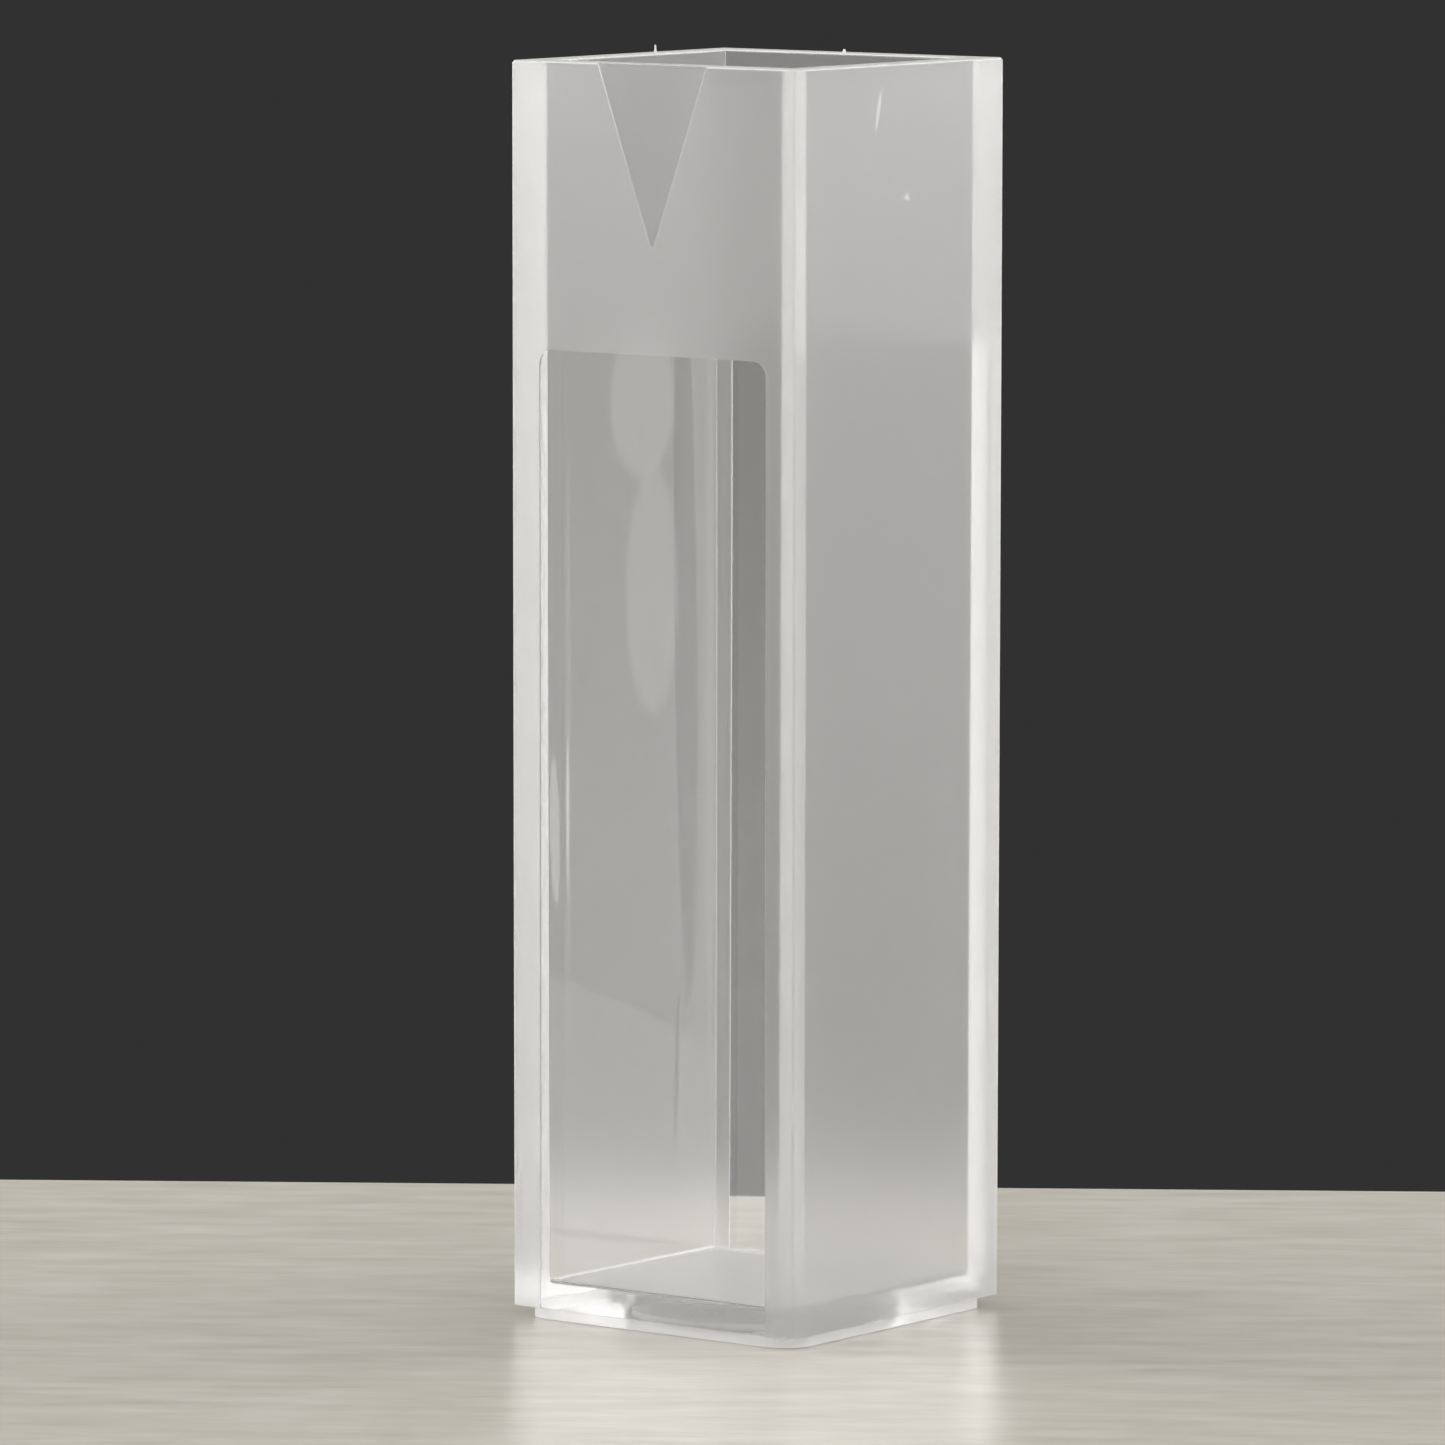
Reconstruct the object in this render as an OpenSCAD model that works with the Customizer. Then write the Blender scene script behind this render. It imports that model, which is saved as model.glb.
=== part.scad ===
// Macro cuvette: a square measuring cell of clear polystyrene, moulded in one piece.
// Units are millimetres. +Z is up, the foot stands on z = 0 and the light passes along Y.

/* [Body] */
// Width of the square body across its flats, at the rim
body_w = 12.5; // [11.5:0.1:16]
// Height from the foot to the rim
body_h = 45; // [30:0.5:60]
// Draft of each outer face, as the inset at the underside
body_draft = 0.025; // [0:0.005:0.1]
// Radius along the four upright outer edges
body_edge_r = 0.1; // [0.06:0.01:0.6]
// Radius over the edges of the rim, outside and inside
rim_r = 0.08; // [0.04:0.01:0.25]

/* [Cavity] */
// Light path: inside distance between the two windows
light_path = 10; // [5:0.1:10]
// Thickness of the two frosted side walls at the floor
side_wall = 1.11; // [0.9:0.01:2.5]
// Draft of each window's inner face, as the widening at the rim
path_draft = 0.02; // [0:0.005:0.15]
// Draft of each side wall's inner face, as the widening at the rim
side_draft = 0.08; // [0:0.005:0.15]
// Radius of the upright inner corners at the floor
cavity_corner_r = 0.2; // [0.1:0.05:1.2]
// Radius where the floor turns up into the walls
floor_edge_r = 0.2; // [0.1:0.05:0.8]
// Height of the cavity floor above the underside of the body
floor_t = 0.8; // [0.6:0.05:2]

/* [Windows] */
// Width of the polished window on each optical face
window_w = 10; // [4:0.1:10.4]
// Distance from the rim down to the top of the window
window_drop = 10.2; // [8.5:0.1:18]
// Depth of the window below the frosted face at the rim
window_recess = 0.12; // [0.06:0.01:0.25]
// Radius of the window's upper corners
window_corner_r = 0.55; // [0.1:0.05:1.5]

/* [Direction mark] */
// Width of the polished triangle at the rim, which shows the light path
mark_w = 4.8; // [2:0.1:6]
// Height of the triangle, from the rim to its tip
mark_h = 6.6; // [3:0.1:8]
// Depth of the triangle below the frosted face
mark_recess = 0.06; // [0.03:0.01:0.15]
// Radius at the triangle's tip
mark_tip_r = 0.12; // [0.05:0.01:0.4]

/* [Foot] */
// Height of the foot below the body
foot_h = 0.42; // [0.3:0.02:1]
// Inset of the foot's flats from the body's outer faces
foot_inset = 0.2; // [0.1:0.02:0.8]
// Radius of the foot's corners
foot_corner_r = 1.2; // [0.4:0.1:2.5]
// Diameter of the round recess in the middle of the foot
gate_recess_d = 6.4; // [4:0.1:9]
// Depth of that recess
gate_recess = 0.3; // [0.15:0.01:0.38]
// Diameter of the trimmed gate mark in the recess
gate_d = 1.5; // [0.8:0.1:2.5]
// How far the gate mark stands down from the top of the recess
gate_stub = 0.12; // [0.05:0.01:0.14]

/* [Hidden] */

// Facets of a quarter turn on the lofted edges
corner_steps = 8;
rim_steps = 5;
floor_steps = 5;
// How far cutting shapes reach past the surfaces that they cut
over = 0.5;
$fn = 64;

floor_z = foot_h + floor_t;
half_w = body_w / 2;
cavity_w = body_w - 2 * side_wall;

// One ring of a loft: a rounded rectangle at height z, anticlockwise from +X.
function ring(w, d, r, z) = [
    for (corner = [0 : 3])
        for (step = [0 : corner_steps])
            let (
                turn = 90 * (corner + step / corner_steps),
                side_x = (corner == 0 || corner == 3) ? 1 : -1,
                side_y = corner < 2 ? 1 : -1
            )
            [side_x * (w / 2 - r) + r * cos(turn), side_y * (d / 2 - r) + r * sin(turn), z]
];

// Closed solid through a stack of rings with equal numbers of points, lowest first.
module loft(rings) {
    n = len(rings[0]);
    top = len(rings) - 1;
    walls = [
        for (k = [0 : top - 1])
            for (i = [0 : n - 1])
                let (j = (i + 1) % n)
                [k * n + i, (k + 1) * n + i, (k + 1) * n + j, k * n + j]
    ];
    floor_face = [for (i = [0 : n - 1]) i];
    top_face = [for (i = [n - 1 : -1 : 0]) top * n + i];
    polyhedron(points = [for (r = rings) each r], faces = concat([floor_face], walls, [top_face]));
}

// Rectangle with rounded corners, centred on the origin.
module rounded_rect(w, d, r) {
    union() {
        square([w - 2 * r, d], center = true);
        square([w, d - 2 * r], center = true);
        for (x = [-1, 1])
            for (y = [-1, 1])
                translate([x * (w / 2 - r), y * (d / 2 - r)])
                    circle(r);
    }
}

// Inset of the drafted outer faces at height z.
function outer_inset(z) = body_draft * (body_h - z) / body_h;

// Drafted square block, with its upright edges and its rim rounded over.
module outer_block() {
    upright = [
        for (z = [foot_h, body_h - rim_r])
            ring(body_w - 2 * outer_inset(z), body_w - 2 * outer_inset(z), body_edge_r, z)
    ];
    rim = [
        for (step = [1 : rim_steps])
            let (
                turn = 90 * step / rim_steps,
                cut = rim_r * (1 - cos(turn)),
                w = body_w - 2 * cut
            )
            ring(w, w, body_edge_r + rim_r - cut, body_h - rim_r + rim_r * sin(turn))
    ];
    loft(concat(upright, rim));
}

// Core of the mould: the inside of the cell, with a rounded floor edge and a flared mouth.
module core() {
    floor_edge = [
        for (step = [0 : floor_steps])
            let (
                turn = 90 * step / floor_steps,
                cut = floor_edge_r * (1 - sin(turn))
            )
            ring(
                cavity_w - 2 * cut,
                light_path - 2 * cut,
                cavity_corner_r - cut * cavity_corner_r / (cavity_corner_r + floor_edge_r),
                floor_z + floor_edge_r * (1 - cos(turn))
            )
    ];
    flare = [
        for (step = [0 : rim_steps])
            let (
                turn = 90 * step / rim_steps,
                wide = rim_r * (1 - cos(turn))
            )
            ring(
                cavity_w + 2 * (side_draft + wide),
                light_path + 2 * (path_draft + wide),
                cavity_corner_r + wide,
                body_h - rim_r + rim_r * sin(turn)
            )
    ];
    above = [
        ring(
            cavity_w + 2 * (side_draft + rim_r),
            light_path + 2 * (path_draft + rim_r),
            cavity_corner_r + rim_r,
            body_h + over
        )
    ];
    loft(concat(floor_edge, flare, above));
}

// Outline of a polished window, seen along the light path: open below, rounded above.
module window_outline() {
    top = body_h - window_drop;
    union() {
        translate([-window_w / 2, -over])
            square([window_w, top - window_corner_r + over]);
        translate([-window_w / 2 + window_corner_r, top - 2 * window_corner_r])
            square([window_w - 2 * window_corner_r, 2 * window_corner_r]);
        for (x = [-1, 1])
            translate([x * (window_w / 2 - window_corner_r), top - window_corner_r])
                circle(window_corner_r);
    }
}

// Cutter that leaves both windows flat and parallel.
module window_pockets() {
    for (side = [-1, 1])
        translate([0, side * (half_w - window_recess + over / 2), 0])
            rotate([90, 0, 0])
                translate([0, 0, -over / 2])
                    linear_extrude(over)
                        window_outline();
}

// Shallow triangle on the front optical face, point down from the rim.
module direction_mark() {
    lean = atan(mark_w / 2 / mark_h);
    tip_to_arc = mark_tip_r / sin(lean);
    touch = [mark_tip_r * cos(lean), tip_to_arc - mark_tip_r * sin(lean)];
    slope = mark_w / 2 / mark_h;
    translate([0, -half_w + mark_recess, body_h - mark_h])
        rotate([90, 0, 0])
            linear_extrude(over)
                union() {
                    polygon([
                        touch,
                        [slope * (mark_h + over), mark_h + over],
                        [-slope * (mark_h + over), mark_h + over],
                        [-touch[0], touch[1]]
                    ]);
                    translate([0, tip_to_arc])
                        circle(mark_tip_r);
                }
}

// Pad that the cell stands on, with the recess that keeps the gate mark off the bench.
module foot() {
    foot_w = body_w - 2 * (body_draft + foot_inset);
    difference() {
        linear_extrude(foot_h + floor_t / 2)
            rounded_rect(foot_w, foot_w, foot_corner_r);
        translate([0, 0, -over])
            cylinder(d = gate_recess_d, h = over + gate_recess);
    }
    translate([0, 0, gate_recess - gate_stub])
        cylinder(d = gate_d, h = gate_stub + floor_t / 2);
}

module cuvette() {
    color([0.86, 0.87, 0.86, 0.55])
        difference() {
            union() {
                outer_block();
                foot();
            }
            core();
            window_pockets();
            direction_mark();
        }
}

cuvette();
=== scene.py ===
import math

import bmesh
import bpy
from mathutils import Matrix, Vector


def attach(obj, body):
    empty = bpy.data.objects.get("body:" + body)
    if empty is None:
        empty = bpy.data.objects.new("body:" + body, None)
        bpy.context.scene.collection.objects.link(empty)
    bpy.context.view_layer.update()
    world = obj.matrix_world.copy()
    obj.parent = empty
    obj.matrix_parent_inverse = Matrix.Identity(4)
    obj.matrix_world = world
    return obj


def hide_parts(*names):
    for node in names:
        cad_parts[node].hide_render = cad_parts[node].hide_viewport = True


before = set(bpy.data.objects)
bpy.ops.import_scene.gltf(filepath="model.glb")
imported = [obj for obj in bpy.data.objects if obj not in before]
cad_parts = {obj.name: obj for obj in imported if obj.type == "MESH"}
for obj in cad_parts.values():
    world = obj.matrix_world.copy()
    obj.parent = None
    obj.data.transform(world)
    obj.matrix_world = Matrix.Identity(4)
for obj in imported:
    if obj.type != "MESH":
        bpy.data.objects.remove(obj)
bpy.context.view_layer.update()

# ---------------------------------------------------------------------------------------------
# The cell. One injection moulding in crystal polystyrene: a drafted square tube with a closed
# foot. The cavity of the mould is spark-eroded, so the outside comes out frosted; the inserts for
# the windows and the triangle, and the core for the inside, are polished, so they come out clear.
# ---------------------------------------------------------------------------------------------

MM = 0.001

# Millimetres. The upright inner corners and the step round each window are drawn finer than in
# the construction (0.03 for 0.2, 0.06 for 0.12): a larger one gathers light into a hard line.
body_w = 12.5
body_h = 45.0
body_draft = 0.025
edge_r = 0.1
rim_r = 0.08

light_path = 10.0
side_wall = 1.11
cavity_w = body_w - 2 * side_wall
side_draft = 0.08
path_draft = 0.02
cavity_corner_r = 0.03
floor_edge_r = 0.2
foot_h = 0.42
floor_t = 0.8
floor_z = foot_h + floor_t

window_w = 10.0
window_drop = 10.2
window_top = body_h - window_drop
window_recess = 0.06
window_corner_r = 0.55

mark_w = 4.8
mark_h = 6.6
mark_recess = 0.06
mark_tip_r = 0.12

foot_inset = 0.2
foot_corner_r = 1.2
gate_recess_d = 6.4
gate_recess = 0.3
gate_d = 1.5
gate_stub = 0.12

# Rounding of every edge that has no radius of its own.
moulded_edge = 0.015

# Steps of a quarter turn on each rounded edge.
corner_steps = 16
rim_steps = 8
floor_steps = 8

# How far a cutting shape reaches past the body, and a joined one into it.
over = 0.5
weld = 0.3


def ring(w, d, r, z):
    """Rounded rectangle of width w along X and depth d along Y at height z, anticlockwise."""
    points = []
    for corner in range(4):
        side_x = 1 if corner in (0, 3) else -1
        side_y = 1 if corner < 2 else -1
        for step in range(corner_steps + 1):
            turn = math.radians(90 * (corner + step / corner_steps))
            x = side_x * (w / 2 - r) + r * math.cos(turn)
            y = side_y * (d / 2 - r) + r * math.sin(turn)
            points.append((x, y, z))
    return points


def loft(name, rings):
    """Closed solid through a stack of rings, lowest first."""
    bm = bmesh.new()
    rows = [[bm.verts.new(p) for p in points] for points in rings]
    count = len(rows[0])
    for low, high in zip(rows, rows[1:]):
        for i in range(count):
            j = (i + 1) % count
            bm.faces.new((low[i], low[j], high[j], high[i]))
    bm.faces.new(list(reversed(rows[0])))
    bm.faces.new(rows[-1])
    return from_bmesh(name, bm)


def prism(name, outline, low, high):
    """Closed solid from an outline of (x, y) points, anticlockwise, between two heights."""
    bm = bmesh.new()
    bottom = [bm.verts.new((x, y, low)) for x, y in outline]
    top = [bm.verts.new((x, y, high)) for x, y in outline]
    count = len(outline)
    for i in range(count):
        j = (i + 1) % count
        bm.faces.new((bottom[i], bottom[j], top[j], top[i]))
    bm.faces.new(list(reversed(bottom)))
    bm.faces.new(top)
    return from_bmesh(name, bm)


def from_bmesh(name, bm):
    """New object in the scene from a bmesh, which is freed."""
    mesh = bpy.data.meshes.new(name)
    bm.to_mesh(mesh)
    bm.free()
    thing = bpy.data.objects.new(name, mesh)
    bpy.context.scene.collection.objects.link(thing)
    return thing


def combine(target, cutter, operation):
    """Joins the cutter to the target, or cuts it away, and removes the cutter."""
    mod = target.modifiers.new("combine", "BOOLEAN")
    mod.object = cutter
    mod.operation = operation
    mod.solver = "EXACT"
    apply_modifiers(target)
    bpy.data.objects.remove(cutter, do_unlink=True)


def apply_modifiers(thing):
    """Replaces the object's mesh by what its modifiers make of it."""
    graph = bpy.context.evaluated_depsgraph_get()
    mesh = bpy.data.meshes.new_from_object(thing.evaluated_get(graph))
    thing.modifiers.clear()
    thing.data = mesh


def arc(cx, cy, r, start, end, steps):
    """Points of an arc, angles in degrees."""
    points = []
    for step in range(steps + 1):
        turn = math.radians(start + (end - start) * step / steps)
        points.append((cx + r * math.cos(turn), cy + r * math.sin(turn)))
    return points


def circle(r, steps):
    """Points of a full circle round the origin."""
    return arc(0, 0, r, 0, 360 - 360 / steps, steps - 1)


# The drafted block, closed at the top for now, with its rim rounded over.
block_rings = []
for z in (foot_h, body_h - rim_r):
    inset = body_draft * (body_h - z) / body_h
    block_rings.append(ring(body_w - 2 * inset, body_w - 2 * inset, edge_r, z))
for step in range(1, rim_steps + 1):
    turn = math.radians(90 * step / rim_steps)
    cut = rim_r * (1 - math.cos(turn))
    z = body_h - rim_r + rim_r * math.sin(turn)
    block_rings.append(ring(body_w - 2 * cut, body_w - 2 * cut, edge_r + rim_r - cut, z))
cell = loft("cell", block_rings)

# The foot, with round corners and the recess that keeps the gate mark off the bench.
foot_half = body_w / 2 - body_draft - foot_inset
foot_outline = []
for corner, (sx, sy) in enumerate([(1, 1), (-1, 1), (-1, -1), (1, -1)]):
    centre = foot_half - foot_corner_r
    foot_outline += arc(
        sx * centre, sy * centre, foot_corner_r, 90 * corner, 90 * corner + 90, corner_steps
    )
foot = prism("foot", foot_outline, 0.0, foot_h + weld)
combine(cell, foot, "UNION")
recess = prism("recess", circle(gate_recess_d / 2, 96), -over, gate_recess)
combine(cell, recess, "DIFFERENCE")
gate = prism("gate", circle(gate_d / 2, 48), gate_recess - gate_stub, gate_recess + weld)
combine(cell, gate, "UNION")

# The inside: rounded floor edge, upright corners, and a mouth that flares over the rim.
corner_share = cavity_corner_r / (cavity_corner_r + floor_edge_r)
core_rings = []
for step in range(floor_steps + 1):
    turn = math.radians(90 * step / floor_steps)
    cut = floor_edge_r * (1 - math.sin(turn))
    z = floor_z + floor_edge_r * (1 - math.cos(turn))
    core_rings.append(
        ring(cavity_w - 2 * cut, light_path - 2 * cut, cavity_corner_r - cut * corner_share, z)
    )
for step in range(rim_steps + 1):
    turn = math.radians(90 * step / rim_steps)
    flare = rim_r * (1 - math.cos(turn))
    z = body_h - rim_r + rim_r * math.sin(turn)
    core_rings.append(
        ring(
            cavity_w + 2 * (side_draft + flare),
            light_path + 2 * (path_draft + flare),
            cavity_corner_r + flare,
            z,
        )
    )
core_rings.append([(x, y, body_h + over) for x, y, z in core_rings[-1]])
combine(cell, loft("core", core_rings), "DIFFERENCE")

# Window pockets, open at the bottom, on both optical faces. Outline points are (x, z).
corner_x = window_w / 2 - window_corner_r
corner_z = window_top - window_corner_r
window_outline = [(-window_w / 2, -over), (window_w / 2, -over)]
window_outline += arc(corner_x, corner_z, window_corner_r, 0, 90, 12)
window_outline += arc(-corner_x, corner_z, window_corner_r, 90, 180, 12)
window_plane = body_w / 2 - window_recess
stand_up = Matrix.Rotation(math.radians(90), 4, "X")
for low, high in ((window_plane, window_plane + over), (-window_plane - over, -window_plane)):
    pocket = prism("pocket", window_outline, low, high)
    pocket.data.transform(stand_up)
    combine(cell, pocket, "DIFFERENCE")

# The triangle that shows the light path, point down from the rim of the front face.
slope = mark_w / 2 / mark_h
lean = math.atan(slope)
tip_z = body_h - mark_h
tip_centre_z = tip_z + mark_tip_r / math.sin(lean)
top_z = body_h + over
tip_start = 180 + math.degrees(lean)
tip_end = 360 - math.degrees(lean)
mark_outline = arc(0, tip_centre_z, mark_tip_r, tip_start, tip_end, 8)
mark_outline += [(slope * (top_z - tip_z), top_z), (-slope * (top_z - tip_z), top_z)]
mark_plane = body_w / 2 - mark_recess
mark = prism("mark", mark_outline, mark_plane, mark_plane + over)
mark.data.transform(stand_up)
combine(cell, mark, "DIFFERENCE")

# Flash: two slivers that the parting line left standing on the rim. Each has its place (x, y),
# its height above the rim and its thickness.
flash = (((-6.19, 2.1), 0.25, 0.12), ((-0.73, 6.16), 0.1, 0.2))
for (x, y), height, thickness in flash:
    bm = bmesh.new()
    bmesh.ops.create_cone(
        bm,
        cap_ends=True,
        segments=10,
        radius1=thickness / 2,
        radius2=thickness / 6,
        depth=height + rim_r,
    )
    sliver = from_bmesh("sliver", bm)
    sliver.data.transform(Matrix.Translation((x, y, body_h + (height - rim_r) / 2)))
    combine(cell, sliver, "UNION")

# Three finishes. Frosted: the drafted outside, apart from the windows and the mark. Matt: the
# rim, the foot, and the floor of the cell inside. Polished: everything else.
bm = bmesh.new()
bm.from_mesh(cell.data)
bmesh.ops.remove_doubles(bm, verts=bm.verts, dist=1e-5)
bmesh.ops.dissolve_limit(bm, angle_limit=math.radians(0.02), verts=bm.verts, edges=bm.edges)
bm.normal_update()
POLISHED, FROSTED, MATT = 0, 1, 2

# Outside faces lie within the skin. A face is near a plane, and looks along an axis squarely,
# mostly or partly, by these measures: millimetres and cosines.
skin = 0.11
near = 0.01
squarely = 0.9999
mostly = 0.9
partly = 0.5
for face in bm.faces:
    centre = face.calc_center_median()
    normal = face.normal
    outermost = max(abs(centre.x), abs(centre.y))
    outside = outermost > body_w / 2 - skin
    rim = centre.z > body_h - rim_r / 2
    foot_skin = centre.z < foot_h + near and outermost < body_w / 2 - 2 * body_draft
    inner_floor = abs(normal.z) > partly and abs(centre.z - floor_z) < floor_edge_r / 2
    on_window = abs(abs(centre.y) - window_plane) < near and abs(normal.y) > squarely
    step_side = abs(abs(centre.x) - window_w / 2) < near and abs(normal.x) > mostly
    on_mark = abs(centre.y + mark_plane) < near and abs(normal.y) > squarely
    if rim or foot_skin or inner_floor:
        face.material_index = MATT
    elif outside and not (on_window or step_side or on_mark):
        face.material_index = FROSTED
    else:
        face.material_index = POLISHED
    face.smooth = True
bm.to_mesh(cell.data)
bm.free()

bevel = cell.modifiers.new("moulded edges", "BEVEL")
bevel.width = moulded_edge
bevel.segments = 2
bevel.limit_method = "ANGLE"
bevel.angle_limit = math.radians(40)
apply_modifiers(cell)
cell.data.set_sharp_from_angle(angle=math.radians(35))
weighted = cell.modifiers.new("flat faces stay flat", "WEIGHTED_NORMAL")
weighted.keep_sharp = True
weighted.weight = 100
apply_modifiers(cell)
cell.data.transform(Matrix.Scale(MM, 4))
finish_by_face = [p.material_index for p in cell.data.polygons]


def linear(hex_colour):
    """sRGB hex to the linear colour that shaders take."""
    channels = [int(hex_colour[i : i + 2], 16) / 255 for i in (1, 3, 5)]
    return [c / 12.92 if c <= 0.04045 else ((c + 0.055) / 1.055) ** 2.4 for c in channels] + [1.0]


def add(tree, kind, settings=None, links=None):
    """Adds a node, sets its properties and inputs, and links its inputs to other sockets."""
    node = tree.nodes.new(kind)
    for key, value in (settings or {}).items():
        if isinstance(key, str) and hasattr(node, key) and key not in node.inputs:
            setattr(node, key, value)
        else:
            node.inputs[key].default_value = value
    for key, socket in (links or {}).items():
        tree.links.new(socket, node.inputs[key])
    return node


def new_material(name):
    """A material with an empty node tree, and that tree."""
    material = bpy.data.materials.new(name)
    material.use_nodes = True
    material.node_tree.nodes.clear()
    return material, material.node_tree


# Crystal polystyrene, index 1.59. Polished steel leaves it at roughness 0.02: the windows and the
# inside are as clear as glass, with sharp reflections at a low angle.
polystyrene_ior = 1.59
polished, tree = new_material("polished_polystyrene")
shader = add(
    tree,
    "ShaderNodeBsdfPrincipled",
    {
        "Base Color": linear("#FFFFFF"),
        "Roughness": 0.02,
        "IOR": polystyrene_ior,
        "Transmission Weight": 1.0,
    },
)
add(tree, "ShaderNodeOutputMaterial", links={"Surface": shader.outputs["BSDF"]})


def eroded_polystyrene(name, scatter, thrown_back, fine, coarse, marks):
    """Spark-eroded polystyrene: a clear surface of roughness fine to coarse over pits of 0.09 mm
    (drawn coarser than the real 0.02), of which a share scatters widely. Of that light, the part
    thrown_back goes back and the rest goes through.

    Each mark is a soft patch that scatters more or less: its middle and half sizes in
    millimetres, its lean in degrees about X, and how much it adds to that share.
    """
    pit = 0.09 * MM
    patch_edge = 0.8  # share of a mark's half size at which its soft edge starts
    material, tree = new_material(name)
    place = add(tree, "ShaderNodeTexCoord").outputs["Object"]
    grain = add(
        tree,
        "ShaderNodeTexNoise",
        {"Scale": 1 / pit, "Detail": 2.0, "Roughness": 0.6},
        {"Vector": place},
    )
    pits = add(
        tree,
        "ShaderNodeMapRange",
        {"From Min": 0.4, "From Max": 0.6, "To Min": fine, "To Max": coarse},
        {"Value": grain.outputs["Fac"]},
    )
    clear = add(
        tree,
        "ShaderNodeBsdfPrincipled",
        {
            "Base Color": linear("#FFFFFF"),
            "IOR": polystyrene_ior,
            "Transmission Weight": 1.0,
        },
        {"Roughness": pits.outputs["Result"]},
    )
    through = add(tree, "ShaderNodeBsdfTranslucent", {"Color": linear("#FFFFFF")})
    back = add(tree, "ShaderNodeBsdfDiffuse", {"Color": linear("#FFFFFF")})
    wide = add(
        tree,
        "ShaderNodeMixShader",
        {"Fac": thrown_back},
        {1: through.outputs["BSDF"], 2: back.outputs["BSDF"]},
    )
    share = None
    for middle, half_size, lean, extra in marks:
        local = add(
            tree,
            "ShaderNodeMapping",
            {
                "vector_type": "TEXTURE",
                "Location": [v * MM for v in middle],
                "Rotation": (math.radians(lean), 0, 0),
                "Scale": [v * MM for v in half_size],
            },
            {"Vector": place},
        )
        distance = add(
            tree,
            "ShaderNodeVectorMath",
            {"operation": "LENGTH"},
            {0: local.outputs["Vector"]},
        )
        outside_patch = scatter if share is None else 0.0
        patch = add(
            tree,
            "ShaderNodeMapRange",
            {
                "interpolation_type": "SMOOTHSTEP",
                "From Min": 1.0,
                "From Max": patch_edge,
                "To Min": outside_patch,
                "To Max": outside_patch + extra,
            },
            {"Value": distance.outputs["Value"]},
        )
        if share is None:
            share = patch.outputs["Result"]
        else:
            both = add(
                tree,
                "ShaderNodeMath",
                {"operation": "ADD"},
                {0: share, 1: patch.outputs["Result"]},
            )
            share = both.outputs["Value"]
    surface = add(
        tree,
        "ShaderNodeMixShader",
        {},
        {"Fac": share, 1: clear.outputs["BSDF"], 2: wide.outputs["Shader"]},
    )
    add(tree, "ShaderNodeOutputMaterial", links={"Surface": surface.outputs["Shader"]})
    return material


# Wear of the frosted faces. On the right wall a scratch and a speck; on the left wall two rubbed
# patches, two cleaner streaks, and drag lines from the mould.
side = body_w / 2
scratch = ((side, -1.34, 43.35), (0.3, 0.13, 0.8), -11, 0.5)
speck = ((side, 0.38, 40.29), (0.3, 0.15, 0.15), 0, 0.6)
rubbed = (
    ((-side, 1.15, 32.5), (0.5, 2.1, 3.0), 0, 0.11),
    ((-side, 1.75, 25.6), (0.5, 1.75, 4.9), 0, 0.1),
)
cleaner = (
    ((-side, 3.75, 24.0), (0.5, 0.75, 15.0), 1.0, -0.11),
    ((-side, 3.2, 8.0), (0.5, 0.16, 3.2), -2, -0.12),
)
drag_lines = (
    ((-side, 5.2, 22.0), (0.5, 0.25, 16.0), 0, 0.07),
    ((-side, -3.2, 20.0), (0.5, 0.14, 13.0), 0, 0.08),
    ((-side, -3.25, 18.0), (0.5, 0.1, 3.0), 0, 0.3),
    ((-side, -4.0, 17.4), (0.5, 0.3, 3.0), 1.5, 0.25),
)

# Frosted outside, roughness 0.3 with an eighth scattered widely: an even grey veil, through which
# the walls show edge-on as pale bands.
frosted = eroded_polystyrene(
    "frosted_polystyrene",
    scatter=0.12,
    thrown_back=0.5,
    fine=0.3,
    coarse=0.34,
    marks=(scratch, speck) + rubbed + cleaner + drag_lines,
)

# The rim, the foot and the floor are finer but scatter half of the light, mostly back: a milky
# base that hides the bench, under a pale rim. Round the gate nearly all of it is scattered.
gate_frost = ((0.0, 0.0, gate_recess), (4.0, 4.0, 0.5), 0, 0.45)
matt = eroded_polystyrene(
    "matt_polystyrene",
    scatter=0.5,
    thrown_back=0.8,
    fine=0.15,
    coarse=0.17,
    marks=(gate_frost,),
)

for finish in (polished, frosted, matt):
    cell.data.materials.append(finish)
cell.data.polygons.foreach_set("material_index", finish_by_face)
cell.name = "polystyrene_cell"
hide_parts("cuvette")
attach(cell, "root")

# ---------------------------------------------------------------------------------------------
# The floor: a pale laminate bench top with a straight back edge, a little behind the cell. The
# decor paper has short streaks along that edge.
# ---------------------------------------------------------------------------------------------

view_azimuth = math.radians(36.882)
away = Vector((-math.sin(view_azimuth), math.cos(view_azimuth), 0))
floor_back = 29.0 * MM
floor_gap = 0.02 * MM
floor_reach = 1.2
floor_skew = math.radians(-2.7)

bm = bmesh.new()
bmesh.ops.create_grid(bm, x_segments=1, y_segments=1, size=floor_reach / 2)
floor = from_bmesh("floor", bm)
turn = Matrix.Rotation(view_azimuth + floor_skew, 4, "Z")
floor.data.transform(Matrix.Translation((0, floor_back - floor_reach / 2, -floor_gap)))
floor.data.transform(turn)

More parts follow.
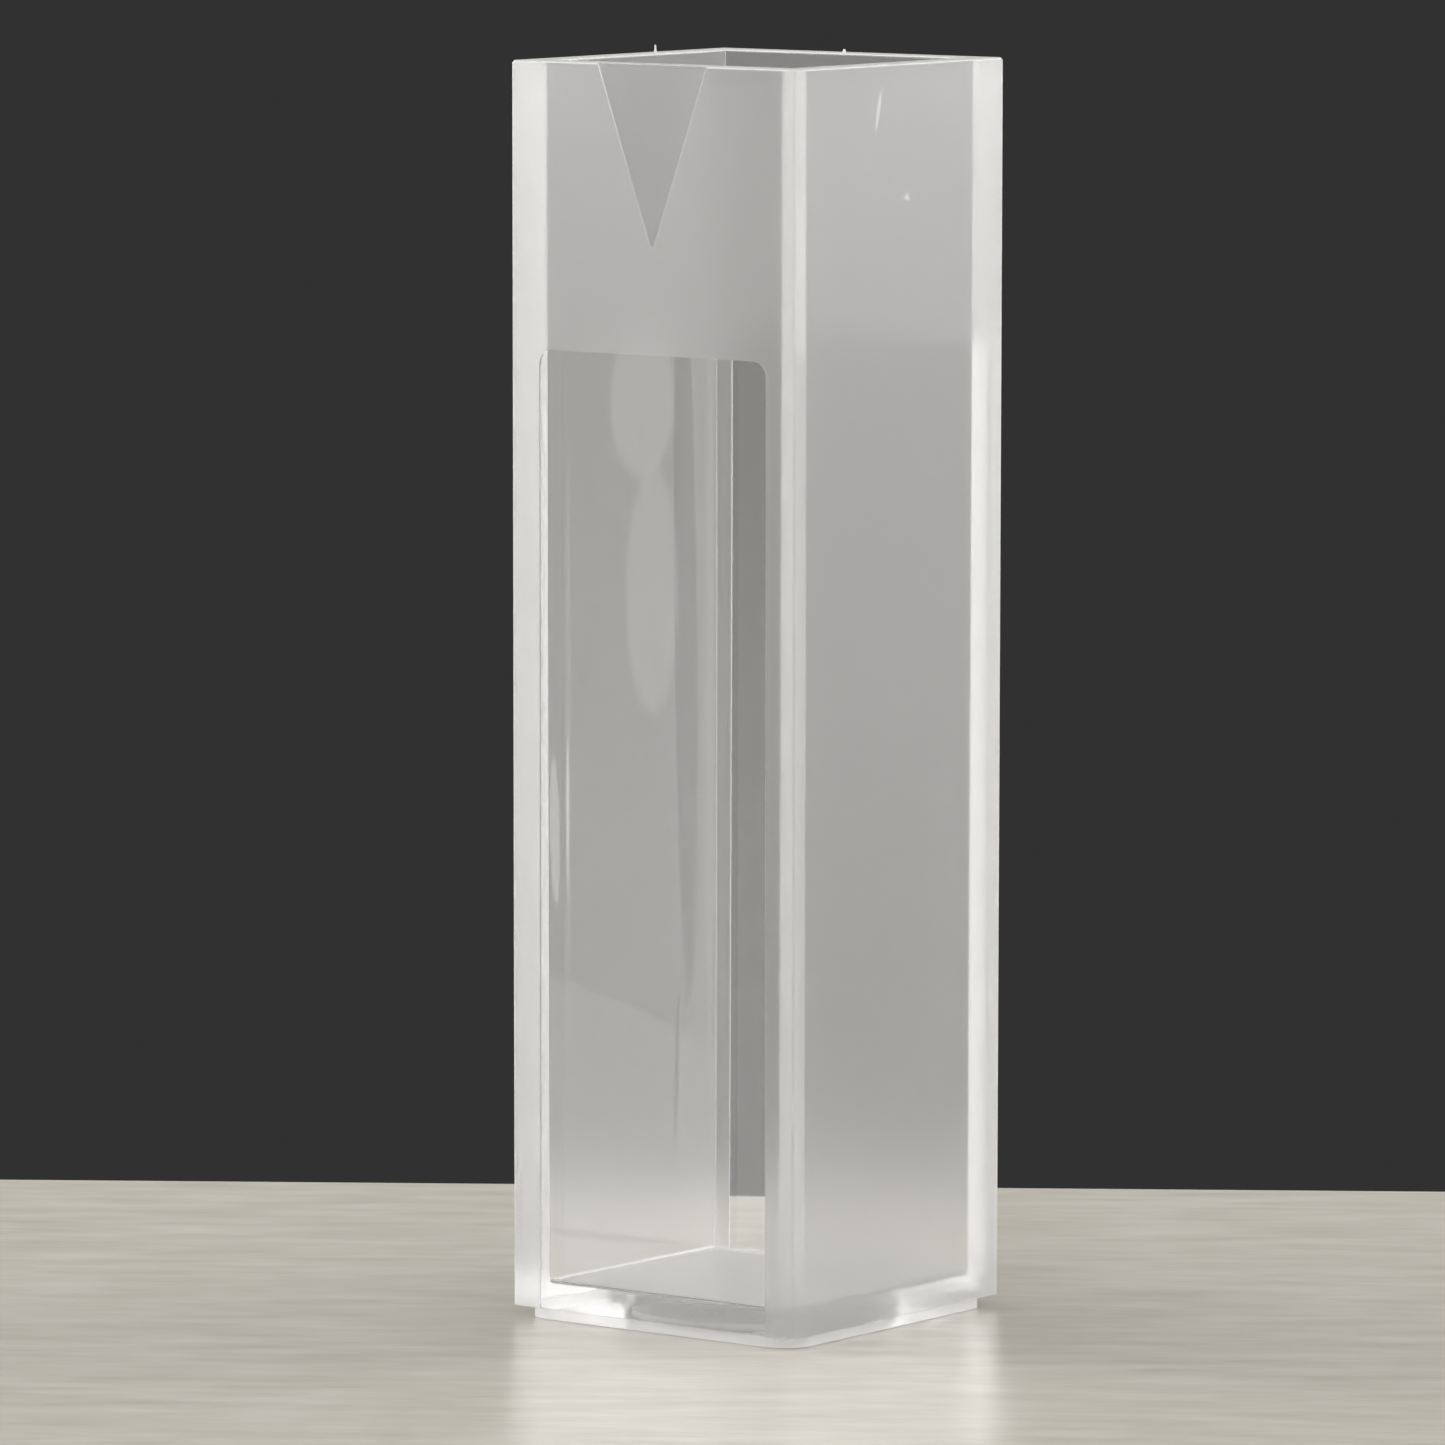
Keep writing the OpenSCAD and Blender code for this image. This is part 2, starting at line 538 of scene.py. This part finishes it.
# Laminate, satin at roughness 0.3: the pale walls show in it as soft streaks. The streaks of the
# decor are about 6 mm long and 1.3 mm wide.
streak_l = 6.0 * MM
streak_w = 1.3 * MM
bench, tree = new_material("bench_laminate")
place = add(tree, "ShaderNodeTexCoord").outputs["Object"]
along = add(
    tree,
    "ShaderNodeMapping",
    {
        "vector_type": "TEXTURE",
        "Rotation": (0, 0, view_azimuth + floor_skew),
        "Scale": (streak_l, streak_w, MM),
    },
    {"Vector": place},
)
decor = add(
    tree,
    "ShaderNodeTexNoise",
    {"Scale": 1.0, "Detail": 4.0, "Roughness": 0.65},
    {"Vector": along.outputs["Vector"]},
)
tone = add(tree, "ShaderNodeValToRGB", links={0: decor.outputs["Fac"]})
for element, position, colour in zip(
    tone.color_ramp.elements, (0.25, 0.75), ("#BFBBB0", "#DBD8CF")
):
    element.position = position
    element.color = linear(colour)
shader = add(
    tree,
    "ShaderNodeBsdfPrincipled",
    {"Roughness": 0.3, "IOR": 1.5},
    {"Base Color": tone.outputs["Color"]},
)
add(tree, "ShaderNodeOutputMaterial", links={"Surface": shader.outputs["BSDF"]})
floor.data.materials.append(bench)

# ---------------------------------------------------------------------------------------------
# Light: a soft pale sky that is brightest low down, open all round but for the side behind the
# cell, where a charcoal card is drawn in it. Two softboxes and a small card light the walls.
# ---------------------------------------------------------------------------------------------

world = bpy.data.worlds.new("studio")
bpy.context.scene.world = world
world.use_nodes = True
tree = world.node_tree
tree.nodes.clear()
direction = add(tree, "ShaderNodeTexCoord").outputs["Generated"]
height = add(tree, "ShaderNodeSeparateXYZ", links={0: direction}).outputs["Z"]

# Brightness of the sky by the sine of the height above the horizon.
lowest = -0.25
sky_levels = ((-0.2, 0.78), (-0.01, 0.78), (0.04, 0.87), (0.4, 0.87), (1.0, 0.4))
sky_strength = 1.45
climb = add(tree, "ShaderNodeMapRange", {"From Min": lowest, "From Max": 1.0}, {"Value": height})
sky = add(tree, "ShaderNodeValToRGB", links={0: climb.outputs["Result"]})
while len(sky.color_ramp.elements) < len(sky_levels):
    sky.color_ramp.elements.new(0.5)
warm_white = linear("#FFFDFB")
for element, (sine, level) in zip(sky.color_ramp.elements, sky_levels):
    element.position = (sine - lowest) / (1 - lowest)
    element.color = [level * channel for channel in warm_white[:3]] + [1.0]

# The card is round with a soft edge, and its middle is a little above the horizon. Its charcoal
# is added all over, where the open sky outshines it.
charcoal = linear("#313132")
card_inner = math.radians(24)
card_outer = math.radians(36)
card_rise = math.radians(5)
card_way = (away.x * math.cos(card_rise), away.y * math.cos(card_rise), math.sin(card_rise))
facing = add(
    tree,
    "ShaderNodeVectorMath",
    {"operation": "DOT_PRODUCT", 1: card_way},
    {0: direction},
)
open_side = add(
    tree,
    "ShaderNodeMapRange",
    {
        "interpolation_type": "SMOOTHSTEP",
        "From Min": math.cos(card_outer),
        "From Max": math.cos(card_inner),
        "To Min": sky_strength,
        "To Max": 0.0,
    },
    {"Value": facing.outputs["Value"]},
)
lit = add(
    tree,
    "ShaderNodeVectorMath",
    {"operation": "SCALE"},
    {0: sky.outputs["Color"], "Scale": open_side.outputs["Result"]},
)
shade = add(
    tree,
    "ShaderNodeVectorMath",
    {"operation": "ADD", 1: charcoal[:3]},
    {0: lit.outputs["Vector"]},
)
background = add(tree, "ShaderNodeBackground", links={"Color": shade.outputs["Vector"]})
add(tree, "ShaderNodeOutputWorld", links={"Surface": background.outputs["Background"]})


def softbox(name, azimuth, elevation, distance, size, watts):
    """Square area light that faces the middle of the cell, at a distance and of a size in metres.
    Azimuth 0 is in front, on -Y."""
    lamp = bpy.data.lights.new(name, "AREA")
    lamp.shape = "SQUARE"
    lamp.size = size
    lamp.energy = watts
    a, e = math.radians(azimuth), math.radians(elevation)
    toward = Vector((math.sin(a) * math.cos(e), -math.cos(a) * math.cos(e), math.sin(e)))
    box = bpy.data.objects.new(name, lamp)
    box.location = toward * distance + Vector((0, 0, body_h / 2 * MM))
    box.rotation_euler = toward.to_track_quat("Z", "Y").to_euler()
    bpy.context.scene.collection.objects.link(box)


softbox("left_softbox", azimuth=-75, elevation=22, distance=0.6, size=0.3, watts=1.2)
softbox("back_softbox", azimuth=142, elevation=17, distance=0.6, size=0.3, watts=0.9)
softbox("front_card", azimuth=-38, elevation=14, distance=0.6, size=0.15, watts=0.3)

# ---------------------------------------------------------------------------------------------
# Camera: a long lens, so that the upright edges come out nearly parallel, about 370 mm away and
# a little above the rim, turned 37 degrees to the right of the front face.
# ---------------------------------------------------------------------------------------------

image_px = 1445
focal_px = 10252
sensor_mm = 36
view_elevation = math.radians(6.327)
view_roll = math.radians(0.062)
view_distance = 366.37 * MM
aim_across = -1.247 * MM
aim_up = -1.205 * MM

back = Vector(
    (
        math.sin(view_azimuth) * math.cos(view_elevation),
        -math.cos(view_azimuth) * math.cos(view_elevation),
        math.sin(view_elevation),
    )
)
level = Vector((math.cos(view_azimuth), math.sin(view_azimuth), 0))
upward = back.cross(level)
across = math.cos(view_roll) * level + math.sin(view_roll) * upward
upright = math.cos(view_roll) * upward - math.sin(view_roll) * level
aim = Vector((0, 0, body_h / 2 * MM)) + level * aim_across + upward * aim_up
place = aim + back * view_distance
lens = bpy.data.cameras.new("camera")
lens.sensor_width = sensor_mm
lens.lens = sensor_mm * focal_px / image_px
lens.clip_start = 0.01
lens.clip_end = 10
camera = bpy.data.objects.new("camera", lens)
camera.matrix_world = Matrix(
    (
        (across.x, upright.x, back.x, place.x),
        (across.y, upright.y, back.y, place.y),
        (across.z, upright.z, back.z, place.z),
        (0, 0, 0, 1),
    )
)
bpy.context.scene.collection.objects.link(camera)

scene = bpy.context.scene
scene.camera = camera
scene.view_settings.view_transform = "Standard"
scene.cycles.max_bounces = 48
scene.cycles.diffuse_bounces = 32
scene.cycles.transmission_bounces = 32
scene.cycles.glossy_bounces = 32
